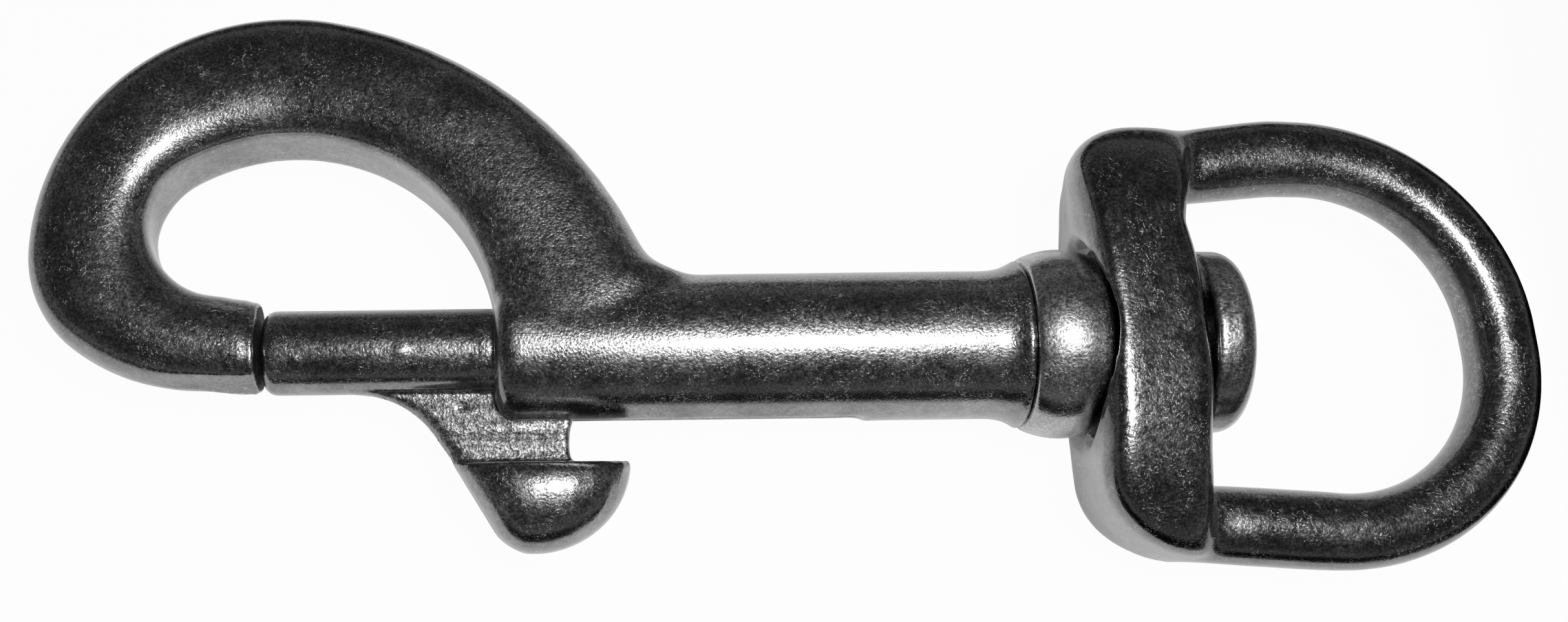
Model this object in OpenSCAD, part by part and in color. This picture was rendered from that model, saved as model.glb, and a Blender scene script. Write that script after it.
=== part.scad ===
// Swivel-eye piston hank (bolt snap), cast and tumbled stainless steel, about 100 mm long.
// It lies with the hook flat: +X runs along the barrel to the eye, +Y to the back of the hook, +Z up.
// The sizes are in millimetres, and X is counted from the front face of the barrel.

/* [Barrel] */
// Outside diameter of the barrel
barrel_d = 9.8; // [9.2:0.1:10.4]
// Length of the barrel, front face to rear face
barrel_l = 34.6; // [33:0.2:37]
// Rounding of the barrel's front lip
lip_r = 1.3; // [0.8:0.1:1.5]
// Diameter of the flare at the barrel's rear face
flare_d = 11.3; // [10.8:0.1:11.8]
// Length of the flare
flare_l = 2.4; // [1.6:0.1:3.2]
// Length of the slot behind the lever when the piston is fully back
slot_spare = 2.7; // [2:0.1:3]
// Lean of the lever and its slot from the plane of the hook, in degrees
lever_lean = 12; // [0:1:14]

/* [Hook] */
// Gap that the piston closes, from the hook's tip to the barrel
gap_l = 15.6; // [14.8:0.1:16.4]
// Diameter of the hook at its tip
tip_d = 5.9; // [5.4:0.1:6.2]
// Length of the throat, from its nose to the barrel
throat_l = 23.2; // [22.6:0.1:23.8]
// Height of the throat's roof above the barrel's axis
throat_h = 14.7; // [14.3:0.1:15.1]
// Radius of the throat's roof
roof_r = 13.9; // [13.5:0.1:14.3]
// Radius of the throat's nose
nose_r = 4.9; // [4.6:0.1:5.2]
// Width of the hook at its nose
nose_w = 8.1; // [7.7:0.1:8.5]
// Width of the hook at its crown
crown_w = 9.1; // [8.7:0.1:9.5]
// Outer radius of the crown
crown_r = 16.9; // [16.5:0.1:17.3]
// Outer radius of the heel, below the nose
heel_r = 8; // [7.6:0.1:8.4]
// Outer radius of the sole, from the heel to the tip
sole_r = 14; // [13.5:0.1:14.5]
// Radius of the back, from the crown to the barrel
back_r = 29; // [28:0.5:30]
// Radius of the fillet between the back and the barrel
fillet_r = 3.2; // [2.8:0.1:3.6]
// Thickness of the hook at its crown
hook_t = 7.8; // [7:0.1:8.4]
// Thickness of the hook at its root
root_t = 9.6; // [9.2:0.1:9.7]

/* [Piston] */
// Diameter of the piston rod
rod_d = 5.6; // [5.2:0.1:5.8]
// Length of the piston rod that stays behind the barrel's front face
rod_tail = 7.2; // [6.4:0.1:8]
// Rounding of the piston's nose
rod_nose_r = 0.9; // [0.5:0.1:1.3]
// Gap between the piston's nose and the hook's tip
nose_gap = 0.25; // [0.15:0.05:0.5]
// Gap around the rod in its bore
slide_clearance = 0.1; // [0.05:0.01:0.1]
// Travel of the piston
travel = 16; // [15:0.2:16.6]

/* [Lever] */
// Thickness of the lever's web
web_t = 1.9; // [1.7:0.1:2.2]
// Gap on each side of the web in its slot
web_clearance = 0.15; // [0.1:0.05:0.25]
// Rear edge of the web, from the barrel's front face
web_rear = 5.1; // [4.4:0.1:5.6]
// Radius of the web's hollow front edge
web_r = 6.5; // [6:0.1:7]
// Start of the web's front edge on the rod, ahead of the barrel
web_front = 9.4; // [9:0.1:9.8]
// Slope of the lever's front edge from the barrel's axis, in degrees
web_slope = 58.7; // [56:0.1:61]
// Gap between the thumb knob and the barrel
knob_gap = 2.5; // [2:0.1:3]
// Height of the thumb knob
knob_h = 6; // [5.6:0.1:6.4]
// Nose of the thumb knob, from the barrel's front face
knob_nose = 8.8; // [8.4:0.1:9.4]
// Lowest point of the thumb knob, from the barrel's front face
knob_low = 2.3; // [2:0.1:2.6]
// Depth of the thumb knob's widest level below its top
knob_belly = 1.8; // [1.4:0.1:2.2]
// Width of the thumb knob across the lever
knob_w = 9.2; // [8.4:0.1:10]

/* [Spring] */
// Wire diameter of the return spring
wire_d = 0.7; // [0.5:0.05:0.8]
// Number of turns of the return spring
spring_turns = 7; // [6:1:7]
// Gap around the spring in the bore, and at its two ends
spring_clearance = 0.25; // [0.15:0.05:0.35]

/* [Swivel pin] */
// Length of the pin's spigot in the barrel
spigot_l = 5.4; // [4.8:0.1:6]
// Gap around the spigot in the bore
spigot_clearance = 0.02; // [0.01:0.01:0.05]
// Diameter of the collar
collar_d = 12.5; // [12:0.1:12.8]
// Width of the collar
collar_w = 5; // [4.6:0.1:5.4]
// Rounding of the collar's edge on the eye's side
collar_r = 1.4; // [1:0.1:1.6]
// Diameter of the shank that the eye turns on
shank_d = 7; // [6.4:0.1:7.4]
// Diameter of the head inside the eye
head_d = 12; // [11.4:0.1:12.6]
// Thickness of the head
head_t = 2.8; // [2.4:0.1:3.2]
// Rounding of the head's edge
head_r = 1.4; // [1:0.1:1.6]
// Gap around the shank in the eye's hole
swivel_clearance = 0.1; // [0.05:0.01:0.1]
// Gap between the eye's boss and the collar, and between the boss and the head
swivel_play = 0.3; // [0.2:0.05:0.4]

/* [Swivel eye] */
// Turn of the eye about the barrel's axis as it lies, in degrees
eye_turn = 5; // [0:1:12]
// Skew of the eye in its plane, out of square with the pin, in degrees
eye_skew = 1.4; // [0:0.1:2]
// Width of the opening in the eye
eye_w = 20; // [19:0.2:21]
// Thickness of the bow's legs in the plane of the eye
bow_w = 5.1; // [4.8:0.1:5.4]
// Thickness of the bow's round end in the plane of the eye
bow_end_w = 4.4; // [4:0.1:4.8]
// Thickness of the bow across the plane of the eye
bow_t = 5; // [4.8:0.1:5.4]
// Squareness of the bow's section, from 2 for an oval upwards
bow_squareness = 2.2; // [2:0.1:3]
// How far the bow's lower corner stands out beyond a round one
bow_fullness = 0.6; // [0:0.1:1]
// Slant of the bow's legs towards the boss, in degrees
leg_slant = 4; // [2:0.5:5]
// Length from the boss's outer face to the middle of the bow's round end
eye_l = 14.5; // [14:0.1:15]
// Width of the boss along the pin
boss_w = 6.6; // [6.2:0.1:7]
// How far the hub around the pin stands out from the boss, towards the head
hub_h = 0.8; // [0.5:0.1:1]
// Distance from the pin's axis at which the hub has run out into the boss
hub_reach = 8.5; // [8:0.1:9]
// Thickness of the boss at the pin
boss_t = 14.4; // [14.2:0.1:14.8]
// Share of its thickness that the boss loses from the collar's side to the head's
boss_draft = 0.1; // [0:0.01:0.14]
// Radius of the boss's outer corner on the side of the hook's back
corner_r = 4; // [3.6:0.1:4.4]
// Radius of the boss's outer corner on the lever's side
lever_corner_r = 5.4; // [5:0.1:5.8]
// Depth of the recess that the collar seats in
recess_h = 1; // [0.8:0.1:1.2]
// Gap around the collar in its recess
recess_clearance = 0.45; // [0.3:0.05:0.5]
// Width of the bevel round the recess
recess_bevel = 0.3; // [0.2:0.05:0.4]

/* [Hidden] */
$fn = 64;
past = 0.5; // how far a cut runs past the face that it opens
rings_per_turn = 72;
section_points = 28;

bore_d = rod_d + 2 * slide_clearance;
slot_l = web_rear + travel + slot_spare;
slot_w = web_t + 2 * web_clearance;
spigot_d = bore_d - 2 * spigot_clearance;
spigot_x = barrel_l - spigot_l;

// Hook: arcs that share one direction angle, from 270 under the tip to 0 at the barrel
throat_end = -throat_l;
roof_centre = [-roof_r, throat_h - roof_r];
roof_run = max(0, throat_l - 2 * roof_r); // straight stretch of a roof that is longer than it is round
roof_left = roof_centre - [roof_run, 0];
nose_turn = acos((throat_end + nose_r - roof_left.x) / (roof_r - nose_r));
nose_centre = on_arc(roof_left, roof_r - nose_r, nose_turn);
hook_end = throat_end - nose_w;
hook_top = throat_h + crown_w;
crown_centre = [hook_end + crown_r, hook_top - crown_r];
heel_centre = [hook_end + heel_r, crown_centre.y];
heel_turn = 232; // direction angle where the heel runs into the sole
sole_centre = on_arc(heel_centre, heel_r - sole_r, heel_turn);
crown_turn = 79; // direction angle where the crown runs into the back
back_centre = on_arc(crown_centre, crown_r - back_r, crown_turn);
fillet_y = barrel_d / 2 + fillet_r;
fillet_turn = asin((fillet_y - back_centre.y) / (back_r + fillet_r));
fillet_centre = on_arc(back_centre, back_r + fillet_r, fillet_turn);
tip_round = 0.7; // rounding of the tip's end
tip_rings = 3;
straight_rings = 3; // between the rounded tip and the sole
tip_growth = 0.3; // share of its full section that the hook has where the sole begins
growth_turn = 120; // turn of the direction angle over which the section grows to the full one
hook_squareness = 2.7;
wall_turn = 146; // half the turn of a section from edge to edge of its flat wall in the throat
round_turn = 180 * (section_points - 1) / section_points; // the same at the tip, which is round
root_inset = 0.3; // how far the root's last section stands inside the barrel's front face and below its axis

// Lever, in its own plane
rod_x = nose_gap - gap_l;
knob_top = -barrel_d / 2 - knob_gap;
web_centre = [-web_front, -rod_d / 2 - web_r];
web_tangent = on_arc(web_centre, web_r, 90 - web_slope);
knob_squareness = 2.2;
knob_rings = 14;
knob_top_turn = 32; // turn of the knob's rounding from its widest level to its top
knob_corner_r = 1.4; // rounding between the knob's front edge and its lowest point
knob_bottom = knob_top - knob_h;
waist_depth = 0.35; // hollow in the web's rear edge, from inside the slot to inside the knob
waist_half = knob_gap / 2 + past;
waist_r = (waist_half * waist_half + waist_depth * waist_depth) / (2 * waist_depth);
web_foot = knob_top - knob_belly; // where the web ends inside the knob
web_inset = 0.3; // how far the web's foot stands inside the knob's front edge

// Spring, between the piston's rod and the pin's spigot
spring_d = bore_d - 2 * spring_clearance;
spring_start = rod_tail + spring_clearance;
spring_end = spigot_x - spring_clearance;
wire_sides = 6;
wire_steps = 16;

// Swivel pin and eye, along the barrel's axis
collar_end = barrel_l + collar_w;
collar_crown = 5.5; // radius of the collar's crowned rim
seam_r = 0.4; // rounding of the edges that face the barrel and the boss
recess_x = collar_end + swivel_play;
boss_x = recess_x - recess_h;
boss_end = boss_x + boss_w;
head_x = boss_end + swivel_play;
hole_d = shank_d + 2 * swivel_clearance;
recess_d = collar_d + 2 * recess_clearance;
bow_x = boss_x + eye_l;
bow_mid_r = (eye_w + bow_w) / 2;
leg_end = on_arc([bow_x, 0], bow_mid_r, 90 + leg_slant);
leg_start = leg_end - (leg_end.x - boss_end + boss_w / 3) * [1, tan(leg_slant)];
bow_steps = 36;
bow_points = 20;
boss_y = bow_mid_r + bow_w / 2 - (bow_x - boss_x - corner_r) * tan(leg_slant);
boss_squareness = 8;
boss_taper = 2.6; // power of the curve along which the boss thins out from the pin to its ends
boss_tip = 0.6; // how far that curve runs past each end of the boss
hub_power = 4; // power of the curve along which the hub runs out
boss_rings = 26;
boss_ys = [for (i = [-boss_rings / 2:boss_rings / 2]) -boss_y * sin(180 * i / boss_rings)];

// The origin is under the middle of the part, where it lies
bow_box = [for (ring = bow_rings(), p = ring) [p.x, p.y * cos(eye_turn) - p.z * sin(eye_turn)]];
eye_end = max([for (p = bow_box) p.x]);
eye_low = min([for (p = bow_box) p.y]);
boss_low = max([for (y = boss_ys, p = boss_section(y)) p.z * cos(eye_turn) + abs(p.y * sin(eye_turn))]);
middle = [(hook_end + eye_end) / 2, (hook_top + eye_low) / 2, -boss_low];

function on_arc(centre, r, a) = centre + r * [cos(a), sin(a)];

function mix(a, b, t) = a + (b - a) * t;

// A point at an angle on a round shape of half-width 1, which a power above 2 squares off
function rounded(a, n) = [cos(a), sin(a)] / pow(pow(abs(cos(a)), n) + pow(abs(sin(a)), n), 1 / n);

// Corners of each triangle between neighbouring rings of a loft, and its two end caps
function loft_faces(rings, points) = concat(
    [[for (k = [0:points - 1]) k]],
    [for (i = [0:rings - 2], k = [0:points - 1], half = [0, 1])
        let (a = i * points + k, b = i * points + (k + 1) % points)
        half == 0 ? [a, a + points, b] : [b, a + points, b + points]],
    [[for (k = [points - 1:-1:0]) (rings - 1) * points + k]]);

module loft(rings) {
    polyhedron(
        points = [for (ring = rings) each ring],
        faces = loft_faces(len(rings), len(rings[0])),
        convexity = 8);
}

// Runs a shape that was revolved about Z along the barrel's axis instead
module along_barrel(x = 0) {
    translate([x, 0, 0]) rotate([0, 90, 0]) children();
}

// A solid of revolution with its edges rounded at the start and at the end
module round_bar(d, l, start_r, end_r) {
    rotate_extrude() {
        translate([0, start_r]) square([d / 2, l - start_r - end_r]);
        square([d / 2 - start_r, l / 2]);
        translate([0, l / 2]) square([d / 2 - end_r, l / 2]);
        translate([d / 2 - start_r, start_r]) circle(start_r);
        translate([d / 2 - end_r, l - end_r]) circle(end_r);
    }
}

// Inner edge of the hook at a direction angle
function throat_at(a) =
    a > nose_turn ? on_arc(nose_centre, nose_r, a) :
    on_arc(a > 90 ? roof_left : roof_centre, roof_r, a);

// Outer edge of the hook at a direction angle, with the fillet onto the barrel at its end
function back_at(a) =
    a > heel_turn ? on_arc(sole_centre, sole_r, a) :
    a > 180 ? on_arc(heel_centre, heel_r, a) :
    a > crown_turn ? on_arc(crown_centre, crown_r, a) :
    a > fillet_turn ? on_arc(back_centre, back_r, a) :
    on_arc(fillet_centre, fillet_r, mix(270, 180 + fillet_turn, a / fillet_turn));

// One section of the hook: crowned on both faces, round on the back, and cut flat by the throat's wall
function hook_section(inner, outer, t, n, turn) =
    let (wall = rounded(turn, n).x)
    [for (k = [0:section_points - 1])
        let (
            q = rounded(turn * (2 * k / (section_points - 1) - 1), n),
            p = mix(inner, outer, (q.x - wall) / (1 - wall)))
        [p.x, p.y, t / 2 * q.y]];

// A round section at the tip, smaller where the end is rounded
function tip_section(x, d) = hook_section([x, d / 2], [x, -d / 2], d, 2, round_turn);

// A section that is partly grown from the round one at the tip to the full one
function grown_section(inner, outer, t, grow) =
    hook_section(inner, outer, t, mix(2, hook_squareness, grow), mix(round_turn, wall_turn, grow));

function hook_rings() =
    let (inner_start = throat_at(270), outer_start = back_at(270), turns = floor(270 / 360 * rings_per_turn))
    concat(
        [for (i = [0:tip_rings - 1])
            let (a = 90 * i / tip_rings)
            tip_section(-gap_l - tip_round * (1 - cos(a)), tip_d - 2 * tip_round * (1 - sin(a)))],
        [for (i = [1:straight_rings])
            let (t = i / (straight_rings + 1), grow = tip_growth * t)
            grown_section(
                mix([-gap_l, tip_d / 2], inner_start, t), mix([-gap_l, -tip_d / 2], outer_start, t),
                mix(tip_d, hook_t, grow), grow)],
        [for (i = [0:turns])
            let (
                a = 270 * (1 - i / turns),
                grow = min(1, mix(tip_growth, 1, (270 - a) / growth_turn)),
                t = a > 90 ? mix(tip_d, hook_t, grow) : mix(root_t, hook_t, a / 90))
            grown_section(throat_at(a), back_at(a), t, grow)],
        [grown_section([root_inset, -root_inset], [fillet_centre.x - fillet_r, -root_inset], root_t, 1)]);

// Cast in one piece: the hook, the barrel with its flare, its bore and the slot for the lever
module hook_body() {
    rise = (flare_d - barrel_d) / 2;
    flare_r = (flare_l * flare_l + rise * rise) / (2 * rise);
    color("dimgray") place() difference() {
        union() {
            along_barrel() round_bar(barrel_d, barrel_l, lip_r, lip_r);
            along_barrel(barrel_l - flare_l) rotate_extrude() difference() {
                square([flare_d / 2, flare_l]);
                translate([barrel_d / 2 + flare_r, 0]) circle(flare_r);
            }
            loft(hook_rings());
        }
        along_barrel(-past) cylinder(d = bore_d, h = barrel_l + 2 * past);
        rotate([lever_lean, 0, 0]) translate([-past, -barrel_d, -slot_w / 2])
            cube([slot_l + past, barrel_d, slot_w]);
    }
}

// Outline of the web that joins the rod to the thumb knob
module web_outline() {
    difference() {
        polygon([
            [-web_front, 0], [-web_front, -rod_d / 2], web_tangent,
            [knob_front(web_foot) + web_inset, web_foot], [web_rear, web_foot], [web_rear, 0]]);
        translate(web_centre) circle(web_r);
        translate([web_rear + waist_r - waist_depth, (knob_top - barrel_d / 2) / 2]) circle(waist_r);
    }
}

// The knob's front edge runs on along the web's slope
function knob_front(y) = web_tangent.x + (web_tangent.y - y) * tan(90 - web_slope);

// One level of the knob, which is widest over its lowest point and runs out to its nose
function knob_ring(y, half_w) =
    let (
        corner = max(0, (knob_bottom + knob_corner_r - y) / knob_corner_r),
        depth = (knob_top - y) / knob_h,
        x0 = mix(knob_low, knob_front(y), sqrt(1 - corner * corner)),
        x1 = mix(knob_low, knob_nose, sqrt(1 - depth * depth)))
    [for (k = [0:section_points - 1])
        let (q = rounded(360 * k / section_points, knob_squareness))
        [mix(knob_low, q.x < 0 ? x0 : x1, abs(q.x)), y, half_w * q.y]];

// Rounded inwards to its flat top, on the side of the barrel, and domed below
module thumb_knob() {
    belly_y = knob_top - knob_belly;
    loft([
        for (i = [0:knob_rings - 1])
            let (
                a = mix(-knob_top_turn, 90, i / knob_rings),
                up = mix(belly_y, knob_top, sin(-a) / sin(knob_top_turn)),
                down = mix(belly_y, knob_bottom, sin(a)))
            knob_ring(a < 0 ? up : down, knob_w / 2 * cos(a))]);
}

// Cast in one piece: the sliding rod, the web through the slot and the thumb knob
module piston() {
    color("gray") place() {
        along_barrel(rod_x) round_bar(rod_d, rod_tail - rod_x, rod_nose_r, rod_nose_r / 3);
        rotate([lever_lean, 0, 0]) {
            translate([0, 0, -web_t / 2]) linear_extrude(web_t) web_outline();
            thumb_knob();
        }
    }
}

// Compression spring that pushes the piston shut, with a closed turn at each end
module return_spring() {
    coil_r = (spring_d - wire_d) / 2;
    steps = spring_turns * wire_steps;
    pitch = (spring_end - spring_start - 3 * wire_d) / (spring_turns - 2);
    color("silver") place() loft([
        for (i = [0:steps])
            let (
                turn = i / wire_steps,
                x = spring_start + wire_d / 2 + min(turn, 1) * wire_d
                    + max(0, min(turn, spring_turns - 1) - 1) * pitch
                    + max(0, turn - spring_turns + 1) * wire_d)
            [for (k = [0:wire_sides - 1])
                let (a = 360 * k / wire_sides, r = coil_r + wire_d / 2 * cos(a))
                [x + wire_d / 2 * sin(a), r * cos(360 * turn), r * sin(360 * turn)]]]);
}

// Turned pin: a spigot in the barrel, the collar, the shank and the head that holds the eye on
module swivel_pin() {
    collar_mid = barrel_l + collar_w / 2;
    color("slategray") place() {
        along_barrel(spigot_x) cylinder(d = spigot_d, h = collar_mid - spigot_x);
        along_barrel(barrel_l) intersection() {
            round_bar(collar_d, collar_w, seam_r, collar_r);
            rotate_extrude() intersection() {
                translate([collar_d / 2 - collar_crown, collar_w / 2]) circle(collar_crown);
                square([collar_d, collar_w]);
            }
        }
        along_barrel(collar_mid) cylinder(d = shank_d, h = head_x + head_t / 2 - collar_mid);
        along_barrel(head_x) round_bar(head_d, head_t, seam_r, head_r);
    }
}

// A point of the eye, with the eye's skew
function skewed(p) = [p.x - p.y * tan(eye_skew), p.y, p.z];

// One section of the bow: a squared-off oval at a point of its middle line, facing outwards along an angle
function bow_section(p, a, w) = [
    for (k = [0:bow_points - 1])
        let (q = rounded(360 * k / bow_points, bow_squareness), edge = on_arc(p, w / 2 * q.x, a))
        skewed([edge.x, edge.y, bow_t / 2 * q.y])];

// The bow is one sweep: a leg, the round end, which thins towards its middle, and the other leg
function bow_rings() = concat(
    [bow_section(leg_start, 90 + leg_slant, bow_w)],
    [for (i = [0:bow_steps])
        let (
            a = mix(90 + leg_slant, -90 - leg_slant, i / bow_steps),
            w = mix(bow_w, bow_end_w, max(0, cos(a))),
            r = bow_mid_r + (bow_w - w) / 2 + bow_fullness * max(0, sin(-2 * max(a, -90))))
        bow_section(on_arc([bow_x, 0], r, a), a, w)],
    [bow_section([leg_start.x, -leg_start.y], -90 - leg_slant, bow_w)]);

// Half the thickness of the boss at a distance from the pin
function boss_half(y) = boss_t / 2 * sqrt(1 - pow(abs(y) / (boss_y + boss_tip), boss_taper));

// One section of the boss across the pin: squared off, thinner towards the head, rounded at the ends
function boss_section(y) =
    let (
        r = y > 0 ? corner_r : lever_corner_r,
        corner = max(0, abs(y) - boss_y + r),
        x0 = boss_x + r - sqrt(r * r - corner * corner),
        x1 = boss_end - hub_h * pow(sin(90 * min(1, abs(y) / hub_reach)), hub_power))
    [for (k = [0:section_points - 1])
        let (q = rounded(360 * k / section_points, boss_squareness), across = (1 + q.x) / 2)
        skewed([mix(x0, x1, across), y, boss_half(y) * q.y * (1 - boss_draft * across)])];

// Cast in one piece: the bow, its two legs and the boss that turns on the pin
module swivel_eye() {
    color("darkgray") place() rotate([eye_turn, 0, 0]) difference() {
        union() {
            loft(bow_rings());
            loft([for (y = boss_ys) boss_section(y)]);
        }
        along_barrel(boss_x - past) cylinder(d = hole_d, h = boss_w + 2 * past);
        along_barrel(boss_x - past) cylinder(d = recess_d, h = recess_h + past);
        along_barrel(boss_x - past)
            cylinder(d1 = recess_d + 2 * (recess_bevel + past), d2 = recess_d, h = recess_bevel + past);
    }
}

module place() {
    translate(-middle) children();
}

hook_body();
piston();
return_spring();
swivel_pin();
swivel_eye();
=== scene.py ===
"""Looks of a swivel-eye piston hank: tumbled dark stainless steel, lying on a white table."""
import math
import bpy
import numpy as np
from mathutils import Matrix, Vector, noise


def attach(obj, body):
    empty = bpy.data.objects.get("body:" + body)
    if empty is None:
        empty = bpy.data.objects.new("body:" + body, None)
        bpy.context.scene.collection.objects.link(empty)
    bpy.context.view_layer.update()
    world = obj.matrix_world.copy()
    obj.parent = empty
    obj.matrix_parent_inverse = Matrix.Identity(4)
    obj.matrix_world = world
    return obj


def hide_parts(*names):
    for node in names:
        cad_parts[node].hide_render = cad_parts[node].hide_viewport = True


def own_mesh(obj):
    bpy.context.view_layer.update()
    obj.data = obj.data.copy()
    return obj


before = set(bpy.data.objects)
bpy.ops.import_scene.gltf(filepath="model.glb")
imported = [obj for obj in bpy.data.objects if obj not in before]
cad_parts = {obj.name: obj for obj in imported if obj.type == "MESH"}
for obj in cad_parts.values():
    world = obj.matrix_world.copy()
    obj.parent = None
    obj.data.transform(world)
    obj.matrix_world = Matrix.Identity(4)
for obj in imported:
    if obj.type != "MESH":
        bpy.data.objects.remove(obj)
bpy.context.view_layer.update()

MM = 0.001
scene = bpy.context.scene
scene.view_settings.view_transform = "Standard"

# Camera, as the photograph was taken: close above the hook, leaning back, with the part to its right
IMAGE_W = 2426
CAMERA_AT = Vector((-14.44, -39.385, 125.2)) * MM
CAMERA_TILT = math.radians(17.74)
CAMERA_ROLL = math.radians(0.7)
FOCAL_PX = 2873
CENTRE_PX = 865
SENSOR_W = 36.0
CLIP_START = 1 * MM

# Light: one soft lamp above the barrel, a dim room and a white table
LAMP_AT = Vector((25, -29, 177.1)) * MM
LAMP_AIM = Vector((2, -4, 7)) * MM
LAMP_SIZE = 45 * MM
LAMP_POWER = 0.142
ROOM_LEVEL = 0.036
HORIZON_LEVEL = 0.2
HORIZON_TOP = 0.36
TABLE_R = 5.0
TABLE_SIDES = 64
TABLE_ALBEDO = 0.9
TABLE_GLOW = 0.97
TABLE_GLOW_IN_METAL = 0.35
# The lit stretch of the table around the part, beyond which it lies in the dark of the room
LIT_X = (-90 * MM, 54 * MM)
LIT_Y = (-31 * MM, 34 * MM)
LIT_EDGE = 2 * MM

# Castings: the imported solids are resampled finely, and their edges are worn soft. In each round of smoothing
# a point goes this share of the way to its neighbours' mean
VOXEL = 0.2 * MM
SMOOTH_SHARE = 0.5
BLEND_ROUNDS = 60
WAVE_LENGTH = 5 * MM
WAVE_HEIGHT = 0.012 * MM

# Where the hook's root runs into the barrel, and how far about it the two are blended
ROOT_AT = Vector((-9.5, 0.4, 9.0)) * MM
ROOT_REACH = Vector((4.5, 3.0, 4.5)) * MM
# The back of the hook above it, which was ground with a coarser grit
GRIT_AT = Vector((-14.5, 4.0, 12.0)) * MM
GRIT_REACH = Vector((8.0, 7.0, 8.0)) * MM
GRIT_SHARE = 0.62

# The hook's nose, ground to two slants along its lower edge. SLANT_SIZE is their distance from the axis as a
# share of the nose's radius, and the angles are turned from Z towards -Y. From TIP_X to the tip's end
# both edges go up, by TIP_RISE above the axis and TIP_LIFT below it, as shares of their distance from it
NOSE_X = (-43.0 * MM, -39.5 * MM)
NOSE_R = 4.5 * MM
SLANT_SIZE = 0.966
SLANT_TURN = math.radians(68.6)
SLANT_FROM = math.radians(45)
TIP_X = -37.5 * MM
TIP_RISE = 0.19
TIP_LIFT = 0.07

# Nubs (raised) and pits (sunk) of the casting: place, radius and height in millimetres
BLEMISHES = {
    "hook_body": (((-19.87, 8.68, 11.54), 0.25, -0.08),
                  ((15.6, 1.0, 9.2), 0.35, 0.12),
                  ((15.7, -9.7, 5.3), 0.4, 0.12)),
    "piston": (((-24.77, -5.05, 9.91), 0.36, 0.08),
               ((-31.65, -5.60, 9.71), 0.25, 0.08),
               ((-30.24, -6.44, 9.08), 0.22, 0.08),
               ((-17.48, -15.86, 8.78), 0.25, 0.06),
               ((-20.86, -8.20, 7.30), 0.3, -0.15)),
    "swivel_pin": (),
    "swivel_eye": (((20.03, 4.67, 7.11), 0.35, -0.25),
                   ((20.48, -12.68, 5.60), 0.45, -0.2)),
}

# Thin film of polish on the steel, which carries the sharp glints
FILM_WEIGHT = 1.0
FILM_ROUGHNESS = 0.12
# The flanks, which tumbling polishes more than the flat faces, told apart by the rise of their normals
FLANK_ROUGHNESS = 0.18
FLANK_BUMP = 0.4
FLANK_TURN = (0.45, 0.8)
# Wavelength and detail of the grain, of its clouds and of the clusters of marks
FINE = (0.17 * MM, 2.0)
COARSE = (0.45 * MM, 2.0)
CLOUD = (3.5 * MM, 3.0)
CLUSTER = (1.8 * MM, 3.0)
# Stretches of the noises that are spread over a whole scale
FINE_SPREAD = (0.36, 0.64)
COARSE_SPREAD = (0.35, 0.65)
CLOUD_SPREAD = (0.3, 0.7)
CLUSTER_SPREAD = (0.45, 0.65)
GLOSS_SPREAD = (0.3, 0.7)
# Scales of the steel's tone, as shares of it, and how much the noises add to its roughness and height
FLANK_TONES = (0.85, 1.15)
FACE_TONES = (0.48, 1.52)
COARSE_TONES = (0.88, 1.12)
CLOUD_TONES = (0.74, 1.26)
COARSE_GLOSS = 0.05
CLOUD_GLOSS = (-0.04, 0.04)
COARSE_HEIGHT = 0.7
# Pits and scratches, which scatter the light. A mark shows where its noise is above a level. Tumbling spreads
# the scratches over all angles
PIT = (0.2 * MM, 0.0)
PIT_LEVEL = (0.74, 0.78)
SCRATCH_LENGTH = 0.8 * MM
SCRATCH_WIDTH = 0.1 * MM
SCRATCH_LEVEL = (0.75, 0.79)
SCRATCH_TURNS = ((0.2, 0.3, 0.2), (0.3, -0.2, -0.5), (-0.2, 0.2, 1.0), (0.1, -0.3, -1.1), (0.2, 0.1, 1.7))
CLUSTER_SHARES = (0.12, 1.0)
MARK_TONE = 0.8
MARK_ROUGHNESS = 0.52
MARK_DEPTH = 0.5
# Faces left as cast or ground with a coarse grit: stripes along X, roughness and relief
STRIPE_LENGTH = 6 * MM
STRIPE_WIDTH = 0.6 * MM
STRIPE_SPREAD = (0.35, 0.65)
STRIPE_TONES = (0.7, 1.25)
CAST_TONES = (0.65, 1.35)
CAST_ROUGHNESS = 0.42
CAST_BUMP = 3.0
# Dark steel on the faces in the hook's mouth and in the boss's pocket: painted shade for these narrow gaps
GAP_SHADE_TONE = 0.08
GAP_SHADE_ROUGHNESS = 0.6

# The barrel's axis, and the lever about it: its lean, the reach and face of its web, its knob and its seam
AXIS = Vector((0, -4.36, 7.213)) * MM
LEVER_LEAN = math.radians(12)
LEVER_OUT = np.array((0, -math.cos(LEVER_LEAN), -math.sin(LEVER_LEAN)))
LEVER_SIDE = np.array((0, -math.sin(LEVER_LEAN), math.cos(LEVER_LEAN)))
WEB_OUT = (2.9 * MM, 7.3 * MM)
WEB_FACE = 0.7 * MM
WEB_EDGE = 0.2 * MM
WEB_ROUND = 1.5 * MM
KNOB_HALF = 4.6 * MM
KNOB_EDGE = 0.6 * MM
KNOB_POWER = 0.75
SEAM_OUT = 5.7 * MM
SEAM_HALF = 0.18 * MM
SEAM_DEPTH = 0.07 * MM

# The ring that the barrel's lip rubs on the rod
RING_X = (-19.7 * MM, -18.9 * MM)
RING_EDGE = 0.2 * MM
RING_SHARE = 0.5

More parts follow.
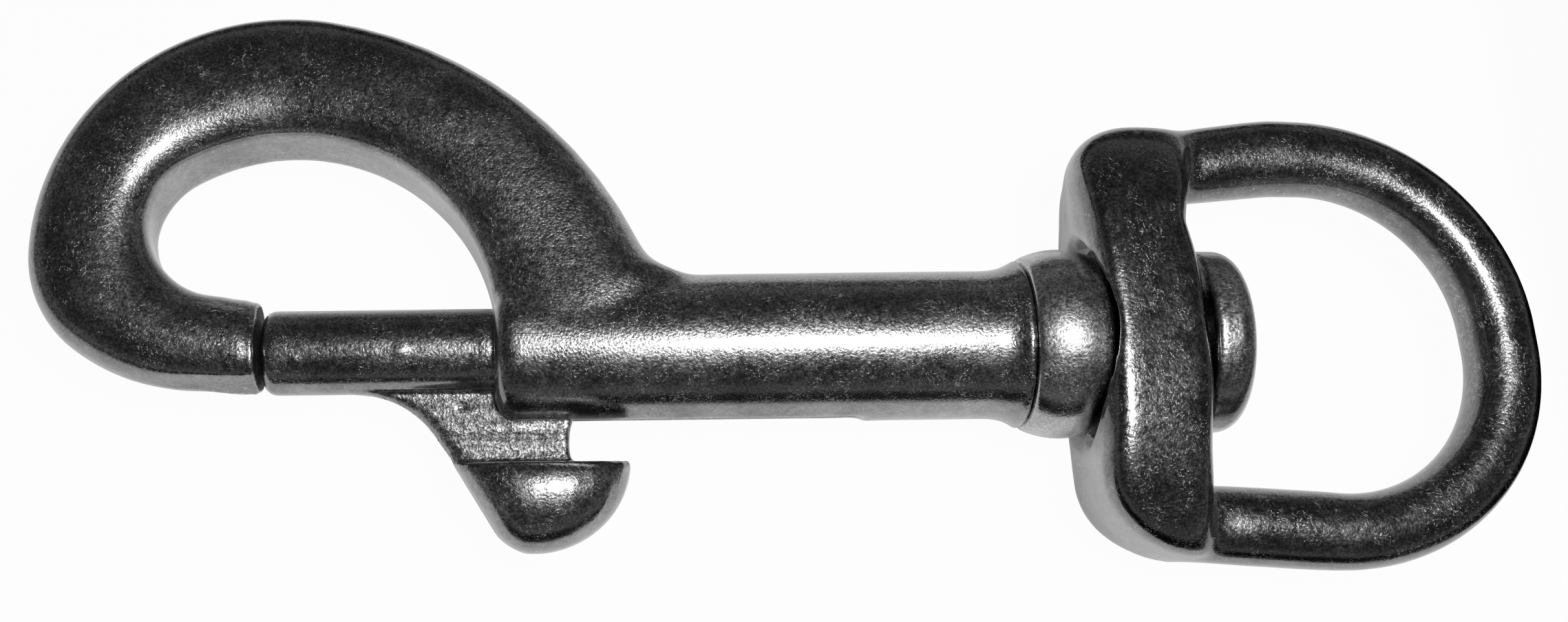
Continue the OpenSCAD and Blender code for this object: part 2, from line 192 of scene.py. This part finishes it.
# The boss of the eye is fuller on its upper side. Shifts of its two flanks along X, in millimetres,
# on the upper and the lower side, at places across it from the axis
BOSS_FLANKS = (20.26 * MM, 26.1 * MM)
BOSS_DEPTH = 4 * MM
FLANK_AT = np.array((-13, -6.5, 0, 6.5, 9.5, 12.5)) * MM
NEAR_UPPER = np.array((-1.1, -0.8, -0.4, -0.6, -0.7, -0.75)) * MM
NEAR_LOWER = np.array((-0.45, -0.2, 0, 0.2, 0.4, 0.5)) * MM
FAR_UPPER = np.array((0.65, 0.3, 0, 0.2, 1.3, 1.9)) * MM
LEG_ROOTS = (Vector((26.5, 7.6, 10.2)) * MM, Vector((26.5, -17.0, 8.6)) * MM)
LEG_REACH = Vector((2.2, 4.0, 4.5)) * MM

# The faces that meet in the mouth of the hook, which are painted dark as the shade of the gap between the tip
# and the rod
MOUTH_X = -34.1 * MM
MOUTH_REACH = 0.35 * MM
MOUTH_R = 3.6 * MM
MOUTH_TURN = 0.93
# Wear spares the edges about the mouth by this much of the smoothing's share
MOUTH_NEAR = Vector((1.0, 6.0, 6.0)) * MM
MOUTH_KEEP = 0.42
# The end of the hook's tip, with its rounding as packed and as made tighter
TIP_END = -34.24 * MM
TIP_R = 2.95 * MM
TIP_ROUND = (0.7 * MM, 0.3 * MM)
# The pocket of the boss that takes the collar, with the collar's face in it; their faces are painted dark as
# the pocket's shade. The boss's shifts spare it
POCKET_X = (20.4 * MM, 21.6 * MM)
POCKET_R = 6.4 * MM
POCKET_EDGE = 0.3 * MM
POCKET_TURN = 0.5


def link(obj):
    scene.collection.objects.link(obj)
    return obj


def applied(obj):
    """Bakes an object's modifiers into its mesh."""
    graph = bpy.context.evaluated_depsgraph_get()
    mesh = bpy.data.meshes.new_from_object(obj.evaluated_get(graph))
    obj.modifiers.clear()
    obj.data = mesh
    return obj


def points_of(mesh):
    co = np.empty(len(mesh.vertices) * 3, np.float32)
    mesh.vertices.foreach_get("co", co)
    return co.reshape(-1, 3)


def normals_of(mesh):
    no = np.empty(len(mesh.vertices) * 3, np.float32)
    mesh.vertices.foreach_get("normal", no)
    return no.reshape(-1, 3)


def set_points(mesh, points):
    mesh.vertices.foreach_set("co", points.astype(np.float32).ravel())
    mesh.update()


def edges_of(mesh):
    pairs = np.empty(len(mesh.edges) * 2, np.int32)
    mesh.edges.foreach_get("vertices", pairs)
    return pairs.reshape(-1, 2)


def averaged(values, pairs, rounds, share):
    """The values of each point, drawn part of the way to the mean of its neighbours' round by round."""
    a, b = pairs.T
    size = len(values)
    count = np.bincount(pairs.ravel(), minlength=size)
    for _ in range(rounds):
        for column in range(values.shape[1]):
            line = values[:, column]
            total = np.bincount(a, line[b], size) + np.bincount(b, line[a], size)
            values[:, column] += share * (total / count - line)
    return values


def worn(mesh, rounds):
    """Smooths a mesh without thinning it: what the smoothing takes from a whole area is put back."""
    start = points_of(mesh).astype(float)
    pairs = edges_of(mesh)
    share = SMOOTH_SHARE - MOUTH_KEEP * near(start, (MOUTH_X, AXIS.y, AXIS.z), MOUTH_NEAR)
    points = averaged(start.copy(), pairs, rounds, share)
    set_points(mesh, points)
    normals = normals_of(mesh)
    lost = np.sum((start - points) * normals, axis=1, keepdims=True)
    set_points(mesh, points + normals * averaged(lost, pairs, rounds, share))


def near(points, centre, reach):
    """1 at a place, falling to 0 about its reach away."""
    return np.exp(-np.sum(((points - np.array(centre)) / np.array(reach)) ** 2, axis=1))


def between(values, low, high, edge):
    """1 between low and high and 0 outside, with soft edges of the given width inside them."""
    return np.clip((values - low) / edge, 0, 1) * np.clip((high - values) / edge, 0, 1)


def eased(share):
    """A share from 0 to 1 that starts and ends gently."""
    share = np.clip(share, 0, 1)
    return share * share * (3 - 2 * share)


def waviness(points, length):
    """The slow, uneven swell that grinding and tumbling leave, from -1 to 1 at each point."""
    return np.array([noise.noise(Vector(p) / length) for p in points.astype(float)])


def lever_frame(points):
    """How far out from the barrel's axis each point lies along the lever, and how far across it."""
    off_axis = points - np.array(AXIS)
    return off_axis @ LEVER_OUT, off_axis @ LEVER_SIDE


def shown_rough(points):
    """1 on the web of the lever, which was left as cast, and 0 on all that was ground or tumbled."""
    out, across = lever_frame(points)
    return between(out, *WEB_OUT, WEB_EDGE) * np.clip((np.abs(across) - WEB_FACE) / WEB_EDGE, 0, 1)


def coarser(points):
    """The share of coarse grinding on the back of the hook."""
    return GRIT_SHARE * near(points, GRIT_AT, GRIT_REACH)


def rubbed(points):
    """The share of wear on the rod in the ring next to the barrel."""
    out, _ = lever_frame(points)
    return RING_SHARE * between(points[:, 0], *RING_X, RING_EDGE) * (out < WEB_OUT[0])


def bullnosed(points):
    """Rounds the front edge of the lever's web over its whole thickness."""
    out, across = lever_frame(points)
    web = (out > WEB_OUT[0]) & (out < WEB_OUT[1])
    level = np.floor((out - WEB_OUT[0]) / VOXEL).astype(int)
    keep = np.ones(len(points))
    for row in np.unique(level[web]):
        here = web & (level == row)
        depth = (points[here, 0] - points[here, 0].min()) / WEB_ROUND
        keep[here] = np.sqrt(1 - np.clip(1 - depth, 0, 1) ** 2)
    return points + np.outer((keep - 1) * across, LEVER_SIDE)


def squarer_knob(points):
    """Fills out the knob's flanks, so that its faces are flatter and its rim rounder."""
    out, across = lever_frame(points)
    fuller = np.sign(across) * KNOB_HALF * (np.abs(across) / KNOB_HALF) ** KNOB_POWER
    share = np.clip((out - WEB_OUT[1]) / KNOB_EDGE, 0, 1)
    return points + np.outer(share * (fuller - across), LEVER_SIDE)


def ground_nose(points):
    """Grinds two slants along the lower edge of the hook's nose and fills out its upper edge at the tip."""
    x = points[:, 0]
    y = points[:, 1] - AXIS.y
    z = points[:, 2] - AXIS.z
    nose = (x < MOUTH_X) & (np.hypot(y, z) < NOSE_R)
    turn = np.arctan2(-y, np.abs(z))
    edge = SLANT_SIZE / math.cos(SLANT_FROM - SLANT_TURN)
    swell = 1 + (edge - 1) * eased(turn / SLANT_FROM)
    size = np.where(turn > SLANT_FROM, SLANT_SIZE / np.cos(turn - SLANT_TURN), swell)
    grow = nose * np.clip((x - NOSE_X[0]) / (NOSE_X[1] - NOSE_X[0]), 0, 1) * (size - 1)
    rise = nose * np.clip((x - TIP_X) / (TIP_END - TIP_X), 0, 1) ** 2 * np.where(y > 0, TIP_RISE, -TIP_LIFT)
    moved = points.copy()
    moved[:, 1] += y * (grow + rise)
    moved[:, 2] += z * grow
    return moved


def squarer_tip(points):
    """Tightens the rounding at the end of the hook's tip."""
    depth = np.clip(TIP_END - points[:, 0], 0, None)
    off = points - np.array(AXIS)
    off[:, 0] = 0
    was, now = (TIP_R - r + np.sqrt(r ** 2 - np.clip(r - depth, 0, None) ** 2) for r in TIP_ROUND)
    at_tip = (points[:, 0] < MOUTH_X) & (np.hypot(off[:, 1], off[:, 2]) < TIP_R + MOUTH_REACH)
    return points + (at_tip * (now / was - 1))[:, None] * off


def fuller_boss(points):
    """Shifts the flanks of the eye's boss, most at its own faces and less away from them."""
    x = points[:, 0]
    y = points[:, 1] - AXIS.y
    z = points[:, 2] - AXIS.z
    left, right = BOSS_FLANKS
    upper = eased(0.5 + z / (2 * BOSS_DEPTH))
    middle = (left + right) / 2
    half = (right - left) / 2
    past_pocket = np.clip((np.hypot(y, z) - POCKET_R) / POCKET_EDGE, 0, 1)
    at_left = np.clip((middle - x) / half, 0, 1) * past_pocket
    at_right = np.clip((x - middle) / half, 0, 1) * np.clip((right + 2 * half - x) / (2 * half), 0, 1)
    lower_shift = np.interp(y, FLANK_AT, NEAR_LOWER)
    shift = at_left * (lower_shift + upper * (np.interp(y, FLANK_AT, NEAR_UPPER) - lower_shift))
    shift += at_right * upper * np.interp(y, FLANK_AT, FAR_UPPER)
    moved = points.copy()
    moved[:, 0] += shift
    return moved


def blend_share(node, points):
    """How far each point of a casting is smoothed again, from 0 to 1."""
    if node == "hook_body":
        return near(points, ROOT_AT, ROOT_REACH)
    if node == "swivel_eye":
        return np.max([near(points, root, LEG_REACH) for root in LEG_ROOTS], axis=0)
    return np.zeros(len(points))


def shaded_gap_faces(mesh):
    """True for each face in the mouth of the hook or in the boss's pocket, which is painted dark as the shade
    of these gaps.
    """
    centre = np.array([p.center for p in mesh.polygons])
    normal = np.array([p.normal for p in mesh.polygons])
    off_axis = np.hypot(centre[:, 1] - AXIS.y, centre[:, 2] - AXIS.z)
    mouth = (np.abs(centre[:, 0] - MOUTH_X) < MOUTH_REACH) & (off_axis < MOUTH_R)
    mouth &= np.abs(normal[:, 0]) > MOUTH_TURN
    pocket = (centre[:, 0] > POCKET_X[0]) & (centre[:, 0] < POCKET_X[1]) & (off_axis < POCKET_R)
    return mouth | (pocket & (np.abs(normal[:, 0]) > POCKET_TURN))


def casting(node, body, rounds, material):
    """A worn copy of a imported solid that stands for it: resampled, rounded and a little uneven."""
    piece = link(bpy.data.objects.new(node + "_cast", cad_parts[node].data.copy()))
    remesh = piece.modifiers.new("resample", "REMESH")
    remesh.mode = "VOXEL"
    remesh.voxel_size = VOXEL
    applied(piece)
    mesh = piece.data
    worn(mesh, rounds)
    points = points_of(mesh).astype(float)
    if node == "piston":
        points = squarer_knob(bullnosed(points))
    if node == "hook_body":
        points = ground_nose(squarer_tip(points))
    if node == "swivel_eye":
        points = fuller_boss(points)
    points = averaged(points, edges_of(mesh), BLEND_ROUNDS, SMOOTH_SHARE * blend_share(node, points))
    lift = WAVE_HEIGHT * waviness(points, WAVE_LENGTH)
    for place, radius, height in BLEMISHES[node]:
        lift += height * MM * near(points, Vector(place) * MM, [radius * MM] * 3)
    if node == "piston":
        out, _ = lever_frame(points)
        lift -= SEAM_DEPTH * shown_rough(points) * np.exp(-((out - SEAM_OUT) / SEAM_HALF) ** 2)
    set_points(mesh, points + lift[:, None] * normals_of(mesh))
    mesh.polygons.foreach_set("use_smooth", [True] * len(mesh.polygons))
    if node in ("hook_body", "piston"):
        rough = coarser(points) if node == "hook_body" else shown_rough(points) + rubbed(points)
        cast = mesh.attributes.new("as_cast", "FLOAT", "POINT")
        cast.data.foreach_set("value", rough.astype(np.float32))
    mesh.materials.clear()
    mesh.materials.append(material)
    # The second material is dark steel that paints the shade in the hook's mouth and the boss's pocket
    mesh.materials.append(bpy.data.materials["gap_shade_steel"])
    mesh.polygons.foreach_set("material_index", shaded_gap_faces(mesh).astype(np.int32))
    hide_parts(node)
    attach(piece, body)
    return piece


class Nodes:
    """Short calls to build the nodes of a material or a world."""

    def __init__(self, owner):
        owner.use_nodes = True
        self.tree = owner.node_tree
        self.tree.nodes.clear()

    def add(self, kind, **values):
        made = self.tree.nodes.new("ShaderNode" + kind)
        for key, value in values.items():
            setattr(made, key, value)
        return made

    def join(self, source, target):
        self.tree.links.new(source, target)

    def fill(self, socket, value):
        if hasattr(value, "is_output"):
            self.join(value, socket)
        else:
            socket.default_value = value

    def math(self, operation, a, b=0.0):
        made = self.add("Math", operation=operation)
        self.fill(made.inputs[0], a)
        self.fill(made.inputs[1], b)
        return made.outputs[0]

    def ramp(self, value, low, high, to_low=0.0, to_high=1.0):
        made = self.add("MapRange")
        self.fill(made.inputs[0], value)
        for socket, number in zip(made.inputs[1:5], (low, high, to_low, to_high)):
            socket.default_value = number
        return made.outputs[0]

    def noise(self, coords, wavelength, detail):
        made = self.add("TexNoise")
        made.inputs["Scale"].default_value = 1 / wavelength
        made.inputs["Detail"].default_value = detail
        self.join(coords, made.inputs["Vector"])
        return made.outputs["Fac"]

    def scratches(self, coords, turn):
        """Sparse, short, thin marks along one direction, 1 on a mark and 0 beside it."""
        made = self.add("Mapping", vector_type="TEXTURE")
        made.inputs["Rotation"].default_value = turn
        made.inputs["Scale"].default_value = (SCRATCH_LENGTH / SCRATCH_WIDTH, 1, 1)
        self.join(coords, made.inputs["Vector"])
        return self.ramp(self.noise(made.outputs[0], SCRATCH_WIDTH, detail=0.0), *SCRATCH_LEVEL)

    def stripes(self, coords):
        """Long soft stripes along X."""
        made = self.add("Mapping")
        made.inputs["Scale"].default_value = (STRIPE_WIDTH / STRIPE_LENGTH, 1, 1)
        self.join(coords, made.inputs["Vector"])
        return self.noise(made.outputs[0], STRIPE_WIDTH, detail=1.0)

    def mix(self, share, a, b):
        made = self.add("Mix")
        self.join(share, made.inputs[0])
        self.fill(made.inputs[2], a)
        self.fill(made.inputs[3], b)
        return made.outputs[0]


def steel(name, tone, roughness, grain=0.02, film=FILM_WEIGHT, flank=FLANK_ROUGHNESS):
    """Tumbled stainless: finely pitted and scratched, with a soft gloss that breaks up into specks.

    The grain is the depth of its relief in millimetres, the film is the weight of the polish on it,
    and the flank is the roughness of the flanks.
    """
    material = bpy.data.materials.new(name)
    n = Nodes(material)
    coords = n.add("TexCoord").outputs["Object"]
    cast = n.add("Attribute", attribute_name="as_cast").outputs["Fac"]
    normal = n.add("SeparateXYZ")
    n.join(n.add("TexCoord").outputs["Normal"], normal.inputs[0])
    flat = n.ramp(n.math("ABSOLUTE", normal.outputs["Z"]), *FLANK_TURN)
    fine = n.noise(coords, *FINE)
    coarse = n.noise(coords, *COARSE)
    cloud = n.noise(coords, *CLOUD)

    marks = n.ramp(n.noise(coords, *PIT), *PIT_LEVEL)
    for turn in SCRATCH_TURNS:
        marks = n.math("MAXIMUM", marks, n.scratches(coords, turn))
    clusters = n.ramp(n.noise(coords, *CLUSTER), *CLUSTER_SPREAD, *CLUSTER_SHARES)
    marks = n.math("MULTIPLY", marks, clusters)

    flank_tone, face_tone = (n.ramp(fine, *FINE_SPREAD, low * tone, high * tone)
                             for low, high in (FLANK_TONES, FACE_TONES))
    level = n.mix(flat, flank_tone, face_tone)
    level = n.math("MULTIPLY", level, n.ramp(cloud, *CLOUD_SPREAD, *CLOUD_TONES))
    level = n.math("MULTIPLY", level, n.ramp(coarse, *COARSE_SPREAD, *COARSE_TONES))
    level = n.mix(marks, level, MARK_TONE)
    stripes = n.math("MULTIPLY", n.ramp(n.stripes(coords), *STRIPE_SPREAD, *STRIPE_TONES),
                     n.ramp(coarse, *COARSE_SPREAD, *CAST_TONES))
    level = n.math("MULTIPLY", level, n.mix(cast, 1.0, stripes))
    colour = n.add("CombineColor")
    for socket in colour.inputs[:3]:
        n.join(level, socket)

    gloss = n.ramp(coarse, *GLOSS_SPREAD, roughness - COARSE_GLOSS, roughness + COARSE_GLOSS)
    gloss = n.math("ADD", gloss, n.ramp(cloud, *GLOSS_SPREAD, *CLOUD_GLOSS))
    gloss = n.mix(flat, flank, gloss)
    gloss = n.mix(marks, gloss, MARK_ROUGHNESS)
    gloss = n.mix(cast, gloss, CAST_ROUGHNESS)

    height = n.math("ADD", fine, n.math("MULTIPLY", coarse, COARSE_HEIGHT))
    height = n.math("SUBTRACT", height, n.math("MULTIPLY", marks, MARK_DEPTH))
    height = n.math("MULTIPLY", height, n.ramp(flat, 0.0, 1.0, FLANK_BUMP, 1.0))
    height = n.math("MULTIPLY", height, n.ramp(cast, 0.0, 1.0, 1.0, CAST_BUMP))
    bump = n.add("Bump")
    bump.inputs["Strength"].default_value = 1.0
    bump.inputs["Distance"].default_value = grain * MM
    n.join(height, bump.inputs["Height"])

    shader = n.add("BsdfPrincipled")
    shader.inputs["Metallic"].default_value = 1.0
    shader.inputs["Coat Weight"].default_value = film
    shader.inputs["Coat Roughness"].default_value = FILM_ROUGHNESS
    n.join(colour.outputs[0], shader.inputs["Base Color"])
    n.join(gloss, shader.inputs["Roughness"])
    n.join(bump.outputs[0], shader.inputs["Normal"])
    n.join(shader.outputs[0], n.add("OutputMaterial").inputs[0])
    return material


def return_spring():
    """The spring behind the rod, kept at its imported length and hung on the hook."""
    piece = link(bpy.data.objects.new("spring_wire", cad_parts["return_spring"].data.copy()))
    piece.data.materials.clear()
    piece.data.materials.append(steel("spring_wire_steel", tone=0.5, roughness=0.3))
    piece.data.polygons.foreach_set("use_smooth", [True] * len(piece.data.polygons))
    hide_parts("return_spring")
    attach(piece, "hook")
    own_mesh(piece)


def table():
    """A table that shows white to the eye and dimmer in the metal, and keeps a faint shadow."""
    mesh = bpy.data.meshes.new("table")
    turns = [2 * math.pi * i / TABLE_SIDES for i in range(TABLE_SIDES)]
    rim = [(TABLE_R * math.cos(turn), TABLE_R * math.sin(turn), 0) for turn in turns]
    mesh.from_pydata(rim, [], [list(range(TABLE_SIDES))])
    material = bpy.data.materials.new("table_white")
    n = Nodes(material)
    spot = n.add("SeparateXYZ")
    n.join(n.add("NewGeometry").outputs["Position"], spot.inputs[0])
    lit = 1.0
    for socket, (low, high) in ((spot.outputs["X"], LIT_X), (spot.outputs["Y"], LIT_Y)):
        lit = n.math("MULTIPLY", lit, n.ramp(socket, low - LIT_EDGE, low))
        lit = n.math("MULTIPLY", lit, n.ramp(socket, high, high + LIT_EDGE, 1.0, 0.0))
    path = n.add("LightPath").outputs
    seen = n.math("MAXIMUM", path["Is Camera Ray"], path["Is Transmission Ray"])
    seen = n.math("MULTIPLY", seen, TABLE_GLOW)
    in_metal = n.math("MULTIPLY", n.math("MULTIPLY", path["Is Glossy Ray"], lit), TABLE_GLOW_IN_METAL)
    seen = n.math("MAXIMUM", seen, in_metal)
    shade = n.add("CombineColor")
    for socket in shade.inputs[:3]:
        n.join(n.math("MULTIPLY", lit, TABLE_ALBEDO), socket)
    matt = n.add("BsdfDiffuse")
    n.join(shade.outputs[0], matt.inputs["Color"])
    glow = n.add("Emission")
    mix = n.add("MixShader")
    n.join(seen, mix.inputs[0])
    n.join(matt.outputs[0], mix.inputs[1])
    n.join(glow.outputs[0], mix.inputs[2])
    n.join(mix.outputs[0], n.add("OutputMaterial").inputs[0])
    mesh.materials.append(material)
    link(bpy.data.objects.new("table", mesh))


def lights():
    """A dim room that is paler at its horizon, and one soft lamp."""
    world = bpy.data.worlds.new("room")
    n = Nodes(world)
    aim = n.add("SeparateXYZ")
    n.join(n.add("TexCoord").outputs["Generated"], aim.inputs[0])
    sky = n.add("Background")
    n.join(n.ramp(aim.outputs["Z"], 0.0, HORIZON_TOP, HORIZON_LEVEL, ROOM_LEVEL), sky.inputs["Strength"])
    sky.inputs["Color"].default_value = (1, 1, 1, 1)
    n.join(sky.outputs[0], n.add("OutputWorld").inputs[0])
    scene.world = world
    lamp = bpy.data.lights.new("soft_lamp", "AREA")
    lamp.shape = "DISK"
    lamp.size = LAMP_SIZE
    lamp.energy = LAMP_POWER
    holder = link(bpy.data.objects.new("soft_lamp", lamp))
    holder.location = LAMP_AT
    holder.rotation_euler = (LAMP_AIM - LAMP_AT).to_track_quat("-Z", "Y").to_euler()


def camera():
    """The camera, shifted as the photograph is framed."""
    data = bpy.data.cameras.new("camera")
    data.sensor_width = SENSOR_W
    data.lens = SENSOR_W * FOCAL_PX / IMAGE_W
    data.shift_x = 0.5 - CENTRE_PX / IMAGE_W
    data.clip_start = CLIP_START
    holder = link(bpy.data.objects.new("camera", data))
    turn = Matrix.Rotation(CAMERA_TILT, 4, "X") @ Matrix.Rotation(-CAMERA_ROLL, 4, "Z")
    holder.matrix_world = Matrix.Translation(CAMERA_AT) @ turn
    scene.camera = holder


camera()
lights()
table()
# Dark steel for the faces in the hook's mouth and the boss's pocket: painted shade
steel("gap_shade_steel", tone=GAP_SHADE_TONE, roughness=GAP_SHADE_ROUGHNESS, film=0.0, flank=GAP_SHADE_ROUGHNESS)
casting("hook_body", "hook", rounds=30,
        material=steel("hook_steel", tone=0.35, roughness=0.31, grain=0.021))
casting("piston", "bolt", rounds=8,
        material=steel("piston_steel", tone=0.35, roughness=0.31, grain=0.021))
casting("swivel_pin", "hook", rounds=6,
        material=steel("pin_steel", tone=0.52, roughness=0.38, grain=0.021))
casting("swivel_eye", "eye", rounds=30,
        material=steel("eye_steel", tone=0.25, roughness=0.29))
return_spring()
